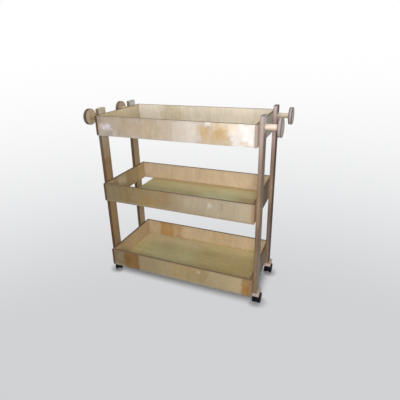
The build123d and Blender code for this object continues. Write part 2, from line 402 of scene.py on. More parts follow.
class WoodSettings(bpy.types.PropertyGroup):
    """Tones of the wood"""

    bottom_front: tone("Bottom front", "Outside of the bottom tray", (0.288, 0.223, 0.126))
    middle_front: tone("Middle front", "Outside of the middle tray", (0.246, 0.180, 0.091))
    top_front: tone("Top front", "Outside of the top tray", (0.41, 0.338, 0.258))
    bottom_inside: tone("Bottom inside", "Inside of the bottom tray's long panels", (0.565, 0.437, 0.279))
    middle_inside: tone("Middle inside", "Inside of the middle tray's long panels", (0.572, 0.445, 0.30))
    top_inside: tone("Top inside", "Inside of the top tray's long panels", (0.60, 0.535, 0.445))
    bottom_end: tone("Bottom ends", "Inside of the bottom tray's ends", (0.50, 0.37, 0.22))
    middle_end: tone("Middle ends", "Inside of the middle tray's ends", (0.39, 0.29, 0.15))
    top_end: tone("Top ends", "Inside of the top tray's ends", (0.49, 0.41, 0.26))
    bottom_floor: tone("Bottom floor", "Upper face of the bottom tray's floor", (0.575, 0.475, 0.25))
    middle_floor: tone("Middle floor", "Upper face of the middle tray's floor", (0.585, 0.525, 0.285))
    top_floor: tone("Top floor", "Upper face of the top tray's floor", (0.48, 0.42, 0.25))
    edge_dark: tone("Edge, dark layers", "Cross-grained layers on a cut edge", (0.215, 0.145, 0.105))
    edge_light: tone("Edge, light layers", "Long-grained layers on a cut edge", (0.33, 0.24, 0.185))
    rim: tone("Rims", "Upper edges of the trays", (0.12, 0.078, 0.045))
    post: tone("Posts", "Inner faces of the posts", (0.275, 0.182, 0.09))
    post_outer: tone("Posts outside", "Outer faces of the posts", (0.24, 0.19, 0.155))
    dowel: tone("Dowels", "Round pegs", (0.58, 0.47, 0.345))
    disc: tone("Discs", "Flat faces of the pegs' discs", (0.46, 0.36, 0.235))
    disc_edge: tone("Disc edges", "Rounded edge of the pegs' discs", (0.24, 0.20, 0.19))
    pad: tone("Pads", "Blocks under the posts", (0.40, 0.325, 0.22))
    # base of real pale marks, and of the painted glare and painted light on the trays' faces
    bleached: tone("Bleached", "Where the varnish has turned white", (0.76, 0.71, 0.64))
    burnt: tone("Burnt", "Dark stain on the bottom tray's front", (0.150, 0.079, 0.018))
    amber: tone("Amber", "Orange stains", (0.44, 0.25, 0.10))


class CasterSettings(bpy.types.PropertyGroup):
    """Tones of plastic and steel"""

    plastic: tone("Plastic", "Moulded hoods and wheels", (0.0025, 0.003, 0.0055))
    dust: tone("Dust", "Dust on the hoods and treads", (0.03, 0.031, 0.034))
    zinc: tone("Zinc", "Plated plates, pins and washers", (0.62, 0.61, 0.57))
    black: tone("Axles", "Blackened axles and their caps", (0.02, 0.02, 0.023))
    brass: tone("Screws", "Yellow-plated wood screws", (0.55, 0.46, 0.30))


class StudioSettings(bpy.types.PropertyGroup):
    """Floor, light and camera"""

    floor: tone("Floor", "Colour of the studio's floor near the camera", (0.635, 0.642, 0.66))
    paint: tone("Floor paint", "Paint of the floor, which takes the shadow", (0.50, 0.505, 0.52))
    backdrop: tone("Backdrop", "Colour that the floor fades to", (1.0, 1.0, 1.0))
    key_power: lamp_power("Key", "Power of the main lamp", 28.0)
    key_size: FloatProperty(
        name="Key size", description="Width of the main lamp", unit="LENGTH", min=0.01, default=0.5
    )
    key_place: studio_place("Key place", "Where the main lamp hangs", (0.66, -1.62, 1.18))
    top_power: lamp_power("Top", "Power of the lamp overhead", 20.0)
    back_power: lamp_power("Back", "Power of the lamp behind", 22.0)
    fill: FloatProperty(name="Fill", description="Strength of light from all round", min=0.0, default=0.48)
    camera_place: studio_place("Camera", "Where the camera stands", (0.7104, -1.5548, 1.2109))
    camera_turn: FloatVectorProperty(
        name="Camera turn", description="Turn to the left, tilt down and roll", subtype="EULER",
        unit="ROTATION", size=3, default=(math.radians(23.587), math.radians(21.479), math.radians(-1.599)),
    )
    lens: FloatProperty(name="Lens", description="Focal length in millimetres", min=1.0, default=31.165)


class TrolleySettings(bpy.types.PropertyGroup):
    """All settings"""

    wood: PointerProperty(type=WoodSettings, name="Wood", description="Tones of the wood")
    caster: PointerProperty(type=CasterSettings, name="Casters", description="Tones of plastic and steel")
    studio: PointerProperty(type=StudioSettings, name="Studio", description="Floor, light and camera")


def wood_tone(context, name, factor=1.0, tint=(1.0, 1.0, 1.0)):
    """One of the wood's tones, made darker or paler, and warmer or colder by a tint."""
    colour = getattr(context.scene.trolley.wood, name)
    return tuple(factor * share * value for share, value in zip(tint, colour))


def layers(colour, dark=0.85, light=1.22):
    """A tone as those of the dark and the light layers of a cut edge."""
    return tuple(dark * value for value in colour), tuple(light * value for value in colour)


def edge_tones(context, factor=1.0, tint=(1.0, 1.0, 1.0)):
    """The tones of the dark and the light layers of a cut edge."""
    return wood_tone(context, "edge_dark", factor, tint), wood_tone(context, "edge_light", factor, tint)


# Wooden pieces


def top_tray_stains(context):
    """The marks on the top tray, by board, with painted glare on the front and painted light on the back
    among them.
    """
    wood = partial(wood_tone, context)
    bleached = wood("bleached")
    chalk = wood("bleached", 0.8, (1.0, 1.01, 1.06))
    frost = wood("bleached", 0.82, (1.0, 0.99, 1.20))
    white = wood("bleached", 0.88, (1.0, 1.04, 1.13))
    grey_smudge_and_glare = wood("bleached", 0.40)
    aged = wood("top_front", 0.62)
    dull = wood("top_front", 0.84)
    straw = wood("top_front", 0.92, (1.0, 0.94, 0.76))
    peach = wood("bleached", 0.82, (1.0, 0.90, 0.76))
    honey = wood("amber", 1.16, (0.96, 1.08, 1.10))
    brown = wood("amber", 0.92, (0.98, 1.10, 1.05))
    smoked = wood("top_inside", 0.82, (1.0, 0.97, 0.84))
    lower_edge_highlight = wood("top_front", 1.03, (1.0, 1.05, 1.16))
    cool = wood("top_front", 1.08, (1.0, 1.08, 1.18))
    return {
        "top_tray_front": (
            Stain(LOW, -0.41, -0.04, 0.05, dull, 0.55, patchy=0.9),
            # painted highlight: a paler, cooler strip along the front's lower edge
            Stain(LOW, -0.40, 0.42, 0.007, lower_edge_highlight, 0.8, 0.80, 0.836, ragged=0.005),
            Stain(LOW, -0.24, -0.045, 0.030, straw, 0.6, 0.838, 0.915, patchy=0.5, ragged=0.060),
            Stain(LOW, -0.42, -0.360, 0.012, aged, 0.75, 0.886, ragged=0.01),
            Stain(LOW, -0.364, -0.312, 0.012, frost, 0.85, 0.860, 0.880, patchy=0.1, ragged=0.014),
            Stain(LOW, -0.365, -0.312, 0.010, grey_smudge_and_glare, 0.75, 0.830, 0.852, patchy=0.3, ragged=0.020),
            Stain(LOW, -0.306, -0.290, 0.006, frost, 0.25, 0.836, 0.852, ragged=0.008),
            Stain(LOW, 0.030, 0.142, 0.04, chalk, 0.5, patchy=0.4, ragged=0.03),
            Stain(LOW, 0.205, 0.330, 0.016, peach, 0.7, 0.880, ragged=0.020),
            Stain(LOW, 0.148, 0.280, 0.016, honey, 0.34, 0.800, 0.906, patchy=0.5, ragged=0.024),
            Stain(LOW, 0.158, 0.184, 0.010, brown, 0.46, 0.846, 0.905, patchy=0.3, ragged=0.014),
            Stain(LOW, 0.200, 0.266, 0.014, brown, 0.60, 0.852, 0.890, patchy=0.3, ragged=0.020),
            Stain(LOW, 0.176, 0.183, 0.003, brown, 0.3, 0.862, 0.904),
            Stain(LOW, 0.206, 0.214, 0.003, brown, 0.25, 0.824, 0.880),
            Stain(LOW, 0.268, 0.275, 0.003, brown, 0.4, 0.820, 0.915),
            Stain(LOW, 0.172, 0.197, 0.008, white, 0.7, 0.910, ragged=0.008),
            Stain(LOW, 0.214, 0.240, 0.007, brown, 0.35, 0.898, ragged=0.008),
            # painted glare mixed with paler varnish: the front's right end whiter and paler
            Stain(LOW, 0.288, 0.42, 0.018, white, 0.82, patchy=0.35, ragged=0.036),
            Stain(LOW, 0.276, 0.310, 0.010, peach, 0.9, 0.886, ragged=0.010),
            Stain(LOW, 0.268, 0.302, 0.008, straw, 0.5, 0.820, 0.862, ragged=0.012),
            Stain(LOW, 0.330, 0.360, 0.008, straw, 0.5, 0.834, 0.858, ragged=0.012),
            Stain(LOW, 0.345, 0.392, 0.006, honey, 0.4, 0.820, 0.836, patchy=0.6, ragged=0.020),
        ),
        "top_tray_back": (
            Stain(LOW, -0.42, -0.25, 0.05, bleached, 0.55, patchy=0.3),
            # painted light: a paler band low on the back's inner face, where the front panel shades it
            Stain(LOW, -0.42, 0.42, 0.02, bleached, 0.5, 0.82, 0.862),
            Stain(LOW, -0.235, -0.10, 0.035, smoked, 0.8, patchy=0.35, ragged=0.04),
            Stain(LOW, -0.297, -0.291, 0.003, bleached, 0.5, 0.850, 0.910),
            Stain(LOW, -0.012, -0.004, 0.003, bleached, 0.6, 0.845, 0.862),
        ),
        "top_tray_left_end": (Stain(HIGH, -0.02, 0.2, 0.06, bleached, 0.2, patchy=0.3),),
        "top_tray_right_end": (Stain(HIGH, -0.12, 0.12, 0.02, cool, 0.9),),
    }


def middle_tray_stains(context):
    """The marks on the middle tray, by board, with painted shadow, shade and sheen among them."""
    wood = partial(wood_tone, context)
    chalk = wood("bleached", 0.8)
    grey_smudge_and_glare = wood("bleached", 0.48)
    dusty = wood("middle_front", 0.70, (1.0, 1.10, 1.22))
    umber = wood("middle_front", 0.74, (1.0, 0.95, 0.90))
    ochre = wood("middle_front", 0.98, (1.0, 0.91, 0.72))
    shaded = wood("middle_floor", 0.78, (1.0, 1.02, 0.93))
    deeper_shadow = wood("middle_floor", 0.72, (1.0, 1.0, 0.90))
    painted_sheen = wood("middle_floor", 1.02, (1.0, 1.10, 1.18))
    sheen_glint = wood("middle_floor", 1.15, (1.0, 1.02, 1.16))
    back_panel_shade = wood("middle_floor", 0.93, (1.0, 0.83, 0.72))
    russet = wood("middle_floor", 0.86, (1.0, 0.82, 0.66))
    brown = wood("middle_front", 0.44, (1.0, 0.9, 0.72))
    dim = wood("middle_end", 0.75, (1.0, 1.0, 1.25))
    spot = wood("middle_end", 1.22, (1.0, 1.10, 1.46))
    lower_edge_highlight = wood("middle_front", 1.12, (1.0, 1.07, 1.40))
    return {
        "middle_tray_front": (
            # painted glare: the front's right half paler and greyer
            Stain(LOW, 0.02, 0.42, 0.12, grey_smudge_and_glare, 0.45, patchy=0.4),
            Stain(LOW, 0.07, 0.165, 0.015, ochre, 0.3, 0.482, 0.510, patchy=0.3, ragged=0.02),
            Stain(LOW, -0.42, -0.33, 0.03, dusty, 0.8, patchy=0.2),
            Stain(LOW, -0.305, -0.230, 0.02, umber, 0.9, patchy=0.4, ragged=0.03),
            Stain(LOW, -0.195, -0.095, 0.02, ochre, 0.9, 0.47, 0.537, patchy=0.4, ragged=0.036),
            Stain(LOW, -0.052, -0.016, 0.012, ochre, 0.6, 0.512, patchy=0.2, ragged=0.03),
            Stain(LOW, 0.184, 0.198, 0.009, chalk, 0.5, 0.530, 0.550, ragged=0.016),
            Stain(LOW, 0.246, 0.253, 0.004, wood("burnt"), 0.3, 0.520, 0.560),
            # painted highlight: a paler, cooler strip along the front's lower edge
            Stain(LOW, -0.40, 0.42, 0.007, lower_edge_highlight, 0.7, 0.45, 0.486, ragged=0.005),
        ),
        "middle_tray_back": (
            # painted shadow near the slot, low on the back's inner face at its left end
            Stain(LOW, -0.42, -0.335, 0.012, wood("middle_inside", 0.84), 0.8, 0.47, 0.515),
        ),
        "middle_tray_floor": (
            # painted shadow of the front panel: the front of the floor darker, most at its left
            Stain(HIGH, -0.42, 0.42, 0.03, shaded, 0.9, -0.2, 0.045),
            Stain(HIGH, -0.42, 0.02, 0.04, deeper_shadow, 0.8, -0.2, 0.058),
            # painted sheen: paler, cooler patches on the right half of the floor
            Stain(HIGH, 0.055, 0.250, 0.03, painted_sheen, 0.9, -0.02, 0.085),
            Stain(HIGH, 0.13, 0.255, 0.025, sheen_glint, 0.8, 0.085, 0.135),
            Stain(HIGH, 0.272, 0.42, 0.02, russet, 0.8, -0.2, 0.055),
            Stain(HIGH, 0.34, 0.42, 0.03, russet, 0.8),
            # painted shade and reflected colour of the back panel: a redder band along the back of the floor
            Stain(HIGH, -0.42, 0.42, 0.014, back_panel_shade, 0.9, 0.150),
        ),
        "middle_tray_left_end": (
            # painted light and shade: the left end's inner face darker towards the front and paler towards
            # the back
            Stain(HIGH, 0.00, 0.115, 0.02, wood("middle_end", 0.92), 0.9),
            Stain(HIGH, 0.125, 0.2, 0.02, wood("middle_end", 1.16), 0.9),
            Stain(HIGH, -0.13, -0.092, 0.012, dim, 0.8),
            Stain(HIGH, -0.086, -0.010, 0.012, spot, 0.8, 0.508, 0.566, ragged=0.006),
        ),
        # painted shade on the right end's outer face, between the posts
        "middle_tray_right_end": (Stain(HIGH, -0.11, 0.07, 0.02, brown, 0.9),),
    }


def bottom_tray_stains(context):
    """The marks on the bottom tray, by board, with painted shade and sheen on the floor and painted shade at
    the foot of the back among them.
    """
    wood = partial(wood_tone, context)
    burnt = wood("burnt")
    scorched = wood("burnt", 1.22, (1.0, 0.98, 1.04))
    dull = wood("bottom_front", 0.635, (1.0, 0.92, 0.82))
    dusty = wood("bottom_front", 0.78, (1.0, 0.98, 1.05))
    lower_edge_highlight = wood("bottom_front", 1.0, (1.0, 1.08, 1.40))
    sanded = wood("bleached", 0.66, (1.0, 0.90, 0.76))
    honey = wood("bottom_front", 1.04, (1.0, 0.92, 0.76))
    rust = wood("amber", 0.52, (0.98, 1.0, 0.70))
    orange = wood("amber", 0.54, (1.08, 0.90, 0.52))
    amber = wood("amber", 1.0, (0.98, 0.98, 0.92))
    tan = wood("amber", 1.0, (1.02, 1.14, 1.26))
    peachy = wood("bottom_inside", 1.02, (1.0, 0.95, 0.86))
    ochre = wood("bottom_inside", 0.88, (1.0, 0.92, 0.70))
    front_shade_green = wood("bottom_floor", 0.645, (1.0, 1.07, 0.93))
    front_shade_gold = wood("bottom_floor", 0.60, (1.0, 0.91, 0.62))
    pale = wood("bottom_floor", 1.0, (1.0, 1.06, 1.20))
    worn_and_shaded = wood("bottom_floor", 0.84, (1.0, 1.0, 0.95))
    back_sheen = wood("bottom_floor", 1.14, (1.0, 1.03, 1.04))
    peach = wood("bottom_floor", 1.05, (1.0, 0.99, 1.12))
    slate = wood("bottom_front", 0.62, (0.95, 1.0, 1.3))
    return {
        "bottom_tray_front": (
            Stain(LOW, -0.03, 0.17, 0.03, honey, 0.9, patchy=0.4, ragged=0.04),
            Stain(LOW, -0.42, -0.313, 0.006, dull, 0.9),
            Stain(LOW, -0.358, -0.318, 0.008, dusty, 0.6, 0.118, ragged=0.010),
            # painted highlight: a paler, cooler strip along the front's lower edge
            Stain(LOW, -0.40, 0.42, 0.007, lower_edge_highlight, 0.75, 0.05, 0.091, ragged=0.005),
            Stain(LOW, -0.319, -0.226, 0.007, scorched, 0.85),
            Stain(LOW, -0.322, -0.284, 0.014, burnt, 1.0, 0.100, 0.160, patchy=0.1, ragged=0.012),
            Stain(LOW, 0.122, 0.135, 0.007, sanded, 0.85, 0.149, 0.163),
            Stain(LOW, 0.353, 0.42, 0.006, rust, 0.85, ragged=0.006),
            Stain(LOW, 0.360, 0.42, 0.008, orange, 0.8, 0.100, 0.136, patchy=0.2),
        ),
        "bottom_tray_back": (
            Stain(LOW, 0.05, 0.17, 0.03, peachy, 0.85, patchy=0.3, ragged=0.04),
            # painted shade: a darker, warmer band at the foot of the back's inner face, where it meets the
            # floor
            Stain(LOW, -0.20, 0.34, 0.008, ochre, 0.55, 0.080, 0.098, ragged=0.006),
            Stain(LOW, -0.302, -0.21, 0.012, amber, 0.9),
            Stain(LOW, -0.265, -0.212, 0.012, tan, 0.7, 0.125),
            Stain(LOW, -0.21, -0.15, 0.02, amber, 0.58, patchy=0.4, ragged=0.02),
        ),
        "bottom_tray_floor": (
            # painted light and sheen: the back of the floor paler and cooler, out to its left end
            Stain(HIGH, -0.33, 0.02, 0.05, pale, 0.8, 0.085),
            Stain(HIGH, 0.06, 0.42, 0.05, back_sheen, 0.9, 0.085),
            Stain(HIGH, -0.42, -0.335, 0.03, peach, 0.6, 0.06),
            # painted shade: the front of the floor darker, out to its left end
            Stain(HIGH, -0.42, -0.335, 0.03, worn_and_shaded, 0.9, -0.2, 0.06),
            Stain(HIGH, -0.335, 0.10, 0.05, front_shade_green, 1.0, -0.2, 0.085, patchy=0.1),
            Stain(HIGH, 0.03, 0.42, 0.10, front_shade_gold, 1.0, -0.2, 0.085, patchy=0.1),
        ),
        "bottom_tray_left_end": (
            # painted light and shade: the left end's inner face paler towards the back and darker towards the
            # front
            Stain(HIGH, 0.12, 0.2, 0.02, wood("bottom_end", 1.17), 0.9),
            Stain(HIGH, -0.2, -0.09, 0.03, wood("bottom_end", 0.80), 0.9),
        ),
        "bottom_tray_right_end": (Stain(HIGH, -0.05, 0.075, 0.02, slate, 0.9),),
    }


@dataclass
class TrayLook:
    """How one tray has aged, and the painted light that falls off towards its left end."""

    fade: tuple  # of its front, from the left end to the right: partly the wood's tone, partly painted light, darker at the left end
    back_fade: tuple  # of its back, in the same way, also partly painted light
    coat: float  # how much varnish is left on its floor
    edges: tuple  # tint of its cut edges


TRAYS = {
    "bottom": TrayLook((0.84, 1.15), (0.94, 1.16), 0.1, (0.66, 0.56, 0.44)),
    "middle": TrayLook((0.74, 1.24), (0.96, 1.06), 0.28, (0.70, 0.64, 0.56)),
    "top": TrayLook((0.92, 1.04), (1.0, 1.04), 0.28, (0.84, 0.90, 1.06)),
}
MATT = {"coat": 0.0, "gloss": 0.04}  # the trays' ends have lost their varnish


class TROLLEY_OT_trays(bpy.types.Operator):
    """Finish the trays' panels and floors"""

    bl_idname = "trolley.trays"
    bl_label = "Trays"

    def execute(self, context):
        wood = partial(wood_tone, context)
        stains = top_tray_stains(context) | middle_tray_stains(context) | bottom_tray_stains(context)
        rim = wood("rim"), wood("rim", 1.5)
        dark = edge_tones(context, 0.57, TRAYS["bottom"].edges)
        for step, (tier, look) in enumerate(TRAYS.items()):
            seed = SEEDS["trays"] + 50.0 * step
            edges = edge_tones(context, 1.0, look.edges)
            worn_and_shaded = edge_tones(context, 1.35, look.edges)
            outside, inside = wood(f"{tier}_front"), wood(f"{tier}_inside")
            end, floor = wood(f"{tier}_end"), wood(f"{tier}_floor")
            tray = f"{tier}_tray"
            boards = (
                Board(f"{tray}_front", "Z", "Y", (outside, inside), edges, seed, rim, fade=look.fade),
                Board(f"{tray}_back", "Z", "Y", (inside, outside), edges, seed + 6, rim, fade=look.back_fade),
                Board(f"{tray}_left_end", "Z", "X", (outside, end), dark, seed + 12, rim, **MATT),
                Board(f"{tray}_right_end", "Z", "X", (end, outside), worn_and_shaded, seed + 18, rim, **MATT),
                Board(
                    f"{tray}_floor", "X", "Z", (outside, floor), edges, seed + 24, fade=(0.97, 1.07),
                    roughness=0.32, coat=look.coat,
                ),
            )
            for board in boards:
                board.stains = stains.get(board.node, ())
                dress(board.node, Ply(board).material)
        return {"FINISHED"}


@dataclass
class PostLook:
    """How one post has aged, with painted shade on the outer face of the rear right one."""

    edges: tuple  # tint of its cut edges
    tip: float  # how pale its edges are at the top
    cap: tuple  # tone of its top end, and of its inner face above the trays
    inner: tuple  # tint of its face towards the trays
    outer: tuple  # tint of its face towards the peg; on the rear right post it is painted shade
    pad: tuple  # tint of the edges of the pad under it
    foot: float = 0.8  # how far the foot of its outer face is scuffed
    bands: tuple = ()  # as a board's
    marks: tuple = ()  # stains of its own


# start, end and factor of bands along the right posts' edges: paler at the middle tray's height and near the
# foot, darker just below the middle tray
RIGHT_EDGE_BANDS = ((0.46, 0.58, 1.24), (0.33, 0.44, 0.8), (0.05, 0.20, 1.12))
EVEN = (1.0, 1.0, 1.0)
FRESH = (1.0, 1.05, 1.15)
POSTS = {
    "front_left": PostLook(
        (0.44, 0.355, 0.24), 0.25, (0.43, 0.385, 0.28), (1.06, 1.07, 1.13), EVEN, FRESH,
        marks=(
            Stain(HIGH, 0.655, 0.695, 0.018, (0.26, 0.150, 0.065), 0.6, ragged=0.012),
            Stain(HIGH, 0.696, 0.714, 0.009, (0.42, 0.34, 0.25), 0.6, -0.172, -0.150, ragged=0.008),
        ),
    ),
    "front_right": PostLook(
        (0.735, 0.69, 0.59), 0.52, (0.20, 0.195, 0.19), EVEN, (1.0, 1.05, 1.07), (0.80, 0.90, 1.06), 0.95,
        RIGHT_EDGE_BANDS + ((0.52, 0.72, 1.13), (0.05, 0.32, 1.08)),
        marks=(Stain(HIGH, 0.91, 1.0, 0.01, (0.60, 0.57, 0.52), 0.85),),
    ),
    "rear_left": PostLook((0.47, 0.41, 0.255), 0.28, (0.465, 0.50, 0.52), (1.30, 1.44, 1.75), EVEN, FRESH),
    "rear_right": PostLook(
        # painted shade: the rear right post's outer face darker
        (0.80, 0.77, 0.76), 0.64, (0.16, 0.16, 0.155), EVEN, (0.49, 0.44, 0.39), (1.10, 1.24, 1.40), 0.1,
        RIGHT_EDGE_BANDS + ((0.34, 0.72, 1.09), (0.12, 0.27, 0.88), (0.76, 0.87, 1.14), (0.91, 1.0, 0.92)),
        marks=(Stain(HIGH, 0.915, 1.0, 0.006, (0.10, 0.095, 0.10), 0.6),),
    ),
}


class TROLLEY_OT_posts(bpy.types.Operator):
    """Finish the posts and the pads under them"""

    bl_idname = "trolley.posts"
    bl_label = "Posts"

    def execute(self, context):
        wood = partial(wood_tone, context)
        pad = wood("pad")
        worn_and_shaded = wood("bleached", 0.66, (1.0, 0.95, 0.82))
        scuffed = wood("bleached", 0.40, (1.0, 0.97, 0.92))
        for step, (corner, look) in enumerate(POSTS.items()):
            seed = SEEDS["posts"] + 12.0 * step
            left = "left" in corner
            inner, outer = (HIGH, LOW) if left else (LOW, HIGH)
            faces = wood("post_outer", 1.0, look.outer), wood("post", 1.0, look.inner)
            pale = wood("bleached", look.tip, (1.0, 0.82, 0.66 if left else 0.86))
            plank = Board(
                f"post_{corner}", "Z", "X", faces if left else faces[::-1],
                edge_tones(context, 1.0, look.edges), seed, layers(look.cap), layers(pale), look.bands,
                arris=0.3, roughness=0.7, coat=0.0, gloss=0.03,
            )
            plank.stains = (
                Stain(inner, 0.75, 1.0, 0.12, worn_and_shaded, 0.8, patchy=0.3),
                Stain(inner, 0.925, 1.0, 0.006, look.cap, 0.85),
                Stain(outer, 0.875, 1.0, 0.02, worn_and_shaded, 0.85, patchy=0.2),
                Stain(outer, 0.0, 0.30, 0.03, scuffed, look.foot, patchy=0.4),
                *look.marks,
            )
            block = Board(
                f"caster_pad_{corner}", "Y", "Z", (pad, pad), edge_tones(context, 1.9, look.pad), seed + 6
            )
            for board in (plank, block):
                dress(board.node, Ply(board).material)
        return {"FINISHED"}


def dowel_finish(node, colour, seed):
    """Varnished solid birch, with its grain along the dowel."""
    finish = Finish(f"birch_{node}", Coat_Weight=0.15, Coat_Roughness=0.25)
    figure = finish.noise(stretch("X", 5.0, 60.0), seed, 3.0, 0.4)
    fibre = finish.noise(stretch("X", 30.0, 1100.0), seed + 3, 2.0)
    ring = finish.noise((1.0, 420.0, 60.0), seed + 7, 2.0, 1.0)
    end = abs(finish.part(finish.normal, "X")).rise(0.6, 0.9)
    shade = 1.0 + 0.3 * (figure - 0.5) + 0.16 * (fibre - 0.5) - end * (0.2 + 0.5 * (ring - 0.5))
    roughness = 0.42 + 0.15 * (figure - 0.5) + 0.2 * end
    finish.paint(finish.scaled(colour, shade), roughness, fibre + end * ring, strength=0.2, depth=0.0003)
    return finish.material


@dataclass
class PegLook:
    """How one peg has aged, with painted shade on the front left dowel: tints of its dowel, and of its disc's
    faces and edge.
    """

    dowel: tuple
    face: tuple
    edge: tuple


TANNED = (0.88, 0.88, 0.88)
GREYED = (0.86, 0.96, 1.26)
PEGS = {
    # painted shade: the front left dowel darker, where it lies partly in shadow
    "front_left": PegLook((0.47, 0.43, 0.32), TANNED, (0.48, 0.456, 0.384)),
    "front_right": PegLook((0.94, 0.94, 1.02), GREYED, (1.30, 1.261, 1.222)),
    "rear_left": PegLook((0.84, 0.80, 0.70), TANNED, (0.78, 0.741, 0.6552)),
    "rear_right": PegLook((0.80, 0.80, 0.80), GREYED, (1.35, 1.35, 1.35)),
}


class TROLLEY_OT_pegs(bpy.types.Operator):
    """Finish the pegs' dowels and discs"""

    bl_idname = "trolley.pegs"
    bl_label = "Pegs"

    def execute(self, context):
        wood = partial(wood_tone, context)
        for step, (corner, look) in enumerate(PEGS.items()):
            seed = SEEDS["pegs"] + 12.0 * step
            face = wood("disc", 1.0, look.face)
            edges = layers(wood("disc_edge", 1.0, look.edge))
            disc = Board(
                f"peg_disc_{corner}", "Z", "X", (face, face), edges, seed, arris=0.8, coat=0.0, gloss=0.1
            )
            dress(disc.node, Ply(disc).material)
            dowel = f"peg_dowel_{corner}"
            dress(dowel, dowel_finish(dowel, wood("dowel", 1.0, look.dowel), seed + 6))
        return {"FINISHED"}


# Casters


def hood_finish(plastic, dust):
    """Black moulded plastic with a fine spark-eroded grain and dust on its upper side."""
    finish = Finish("hood_plastic", Specular_IOR_Level=0.08)
    grain = finish.noise((2600.0, 2600.0, 2600.0), SEEDS["hoods"], 2.0)
    smear = finish.noise((60.0, 60.0, 60.0), SEEDS["hoods"] + 5, 3.0)
    upward = finish.part(finish.normal, "Z").rise(0.2, 1.0)
    dusty = (0.04 + 0.25 * upward) * smear.rise(0.3, 0.8)
    roughness = 0.38 + 0.3 * (smear - 0.5) + 0.2 * dusty
    finish.paint(finish.mix(dusty, plastic, dust), roughness, grain, strength=0.25, depth=0.0002)
    return finish.material


def spin_of(wheel):
    """The joint that a wheel spins on."""
    name = wheel.replace("caster_", "", 1) + "_spin"
    return next(joint for joint in frame["record"]["behaviour"]["joints"] if joint["name"] == name)


def wheel_finish(node, plastic, dust, seed):
    """Black moulded plastic with a scuffed tread and turned rings on its face."""
    finish = Finish(f"wheel_{node}", Specular_IOR_Level=0.08)
    low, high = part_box(node)
    radius = (high.z - low.z) / 2
    spin = spin_of(node)
    axle, centre = Vector(spin["axis"]), Vector(spin["pos_m"])
    ahead = Vector((-axle.y, axle.x, 0.0))
    over = finish.reach(ahead) - centre.dot(ahead)
    up = finish.part(finish.point, "Z") - centre.z
    reach = (over * over + up * up) ** 0.5
    rings = (reach * 5200.0).sine()
    smear = finish.noise((90.0, 90.0, 90.0), seed, 3.0)
    grit = finish.noise((1500.0, 1500.0, 1500.0), seed + 5, 3.0)
    tread = reach.rise(0.93 * radius, 0.99 * radius)
    dusty = 0.05 * smear + tread * (0.3 + 0.4 * grit) * smear.rise(0.2, 0.7)
    roughness = 0.36 + 0.3 * (smear - 0.5) + 0.25 * tread
    relief = tread * grit + (1.0 - tread) * 0.12 * rings
    finish.paint(finish.mix(dusty, plastic, dust), roughness, relief, strength=0.3, depth=0.0003)
    return finish.material


def plated_finish(name, colour, seed):
    """Plated steel with fine scratches and dull clouds."""
    finish = Finish(name, Metallic=1.0)
    scratch = finish.noise((60.0, 1400.0, 1400.0), seed, 3.0)
    cloud = finish.noise((120.0, 120.0, 120.0), seed + 5, 3.0)
    roughness = 0.3 + 0.2 * (scratch - 0.5) + 0.3 * (cloud - 0.5)
    colour = finish.scaled(colour, 0.8 + 0.5 * (cloud - 0.5))
    finish.paint(colour, roughness, scratch, strength=0.15, depth=0.0002)
    return finish.material


class TROLLEY_OT_casters(bpy.types.Operator):
    """Finish the casters"""

    bl_idname = "trolley.casters"
    bl_label = "Casters"

    def execute(self, context):
        caster = context.scene.trolley.caster
        plastic, dust = tuple(caster.plastic), tuple(caster.dust)
        hood = hood_finish(plastic, dust)
        steel = plated_finish("zinc_steel", tuple(caster.zinc), SEEDS["zinc"])
        black = plated_finish("black_steel", tuple(caster.black), SEEDS["axles"])
        for step, corner in enumerate(CORNERS):
            dress(f"caster_hood_{corner}", hood)
            dress(f"caster_plate_{corner}", steel)
            dress(f"caster_axle_{corner}", black)
            for turn, side in enumerate(SIDES):
                wheel = f"caster_wheel_{corner}_{side}"
                seed = SEEDS["wheels"] + 20.0 * step + 10.0 * turn
                dress(wheel, wheel_finish(wheel, plastic, dust, seed))
        for group in ("king_pins", "swivel_washers"):
            dress(group, steel)
        return {"FINISHED"}


# Screws


TURNS = 24  # corners round a screw
TWIST = 0.7  # how far each recess is turned from the one before, in radians
RECESS_ARM, RECESS_WIDTH, RECESS_DEPTH = 0.5, 0.24, 0.42  # in radii of the head
RECESS_FLOOR = 0.55  # size of the recess's floor, as a share of its mouth's
SHARP = math.radians(35)  # turn between two faces from which their edge is shaded sharp


def loose_parts(node):
    """The corners of each separate solid in a node's mesh."""
    mesh = bmesh.new()
    mesh.from_mesh(frame["nodes"][node].data)
    bmesh.ops.remove_doubles(mesh, verts=mesh.verts, dist=1e-6)
    left = set(mesh.verts)
    parts = []
    while left:
        edge_of_part = [left.pop()]
        part = []
        while edge_of_part:
            vert = edge_of_part.pop()
            part.append(vert.co.copy())
            for edge in vert.link_edges:
                other = edge.other_vert(vert)
                if other in left:
                    left.remove(other)
                    edge_of_part.append(other)
        parts.append(part)
    mesh.free()
    return parts


@dataclass
class ScrewPlace:
    """Where a screw sits: the middle of its head's face, the way out of the hole, and its size."""

    face: Vector
    out: Vector
    radius: float
    length: float


def screw_place(part):
    """Reads a screw's place from the corners of its solid."""
    low = Vector(min(point[i] for point in part) for i in range(3))
    high = Vector(max(point[i] for point in part) for i in range(3))
    size = high - low
    axis = max(range(3), key=lambda i: size[i])
    middle = (low + high) / 2
    radius = max(size[i] for i in range(3) if i != axis) / 2

    def reach(end):
        near = [point for point in part if abs(point[axis] - end) < 0.1 * size[axis]]
        return max((point - middle).length_squared - (point[axis] - middle[axis]) ** 2 for point in near)

    head = high[axis] if reach(high[axis]) > reach(low[axis]) else low[axis]
    out = Vector((0.0, 0.0, 0.0))
    out[axis] = 1.0 if head > middle[axis] else -1.0
    face = middle.copy()
    face[axis] = head
    return ScrewPlace(face, out, radius, size[axis])


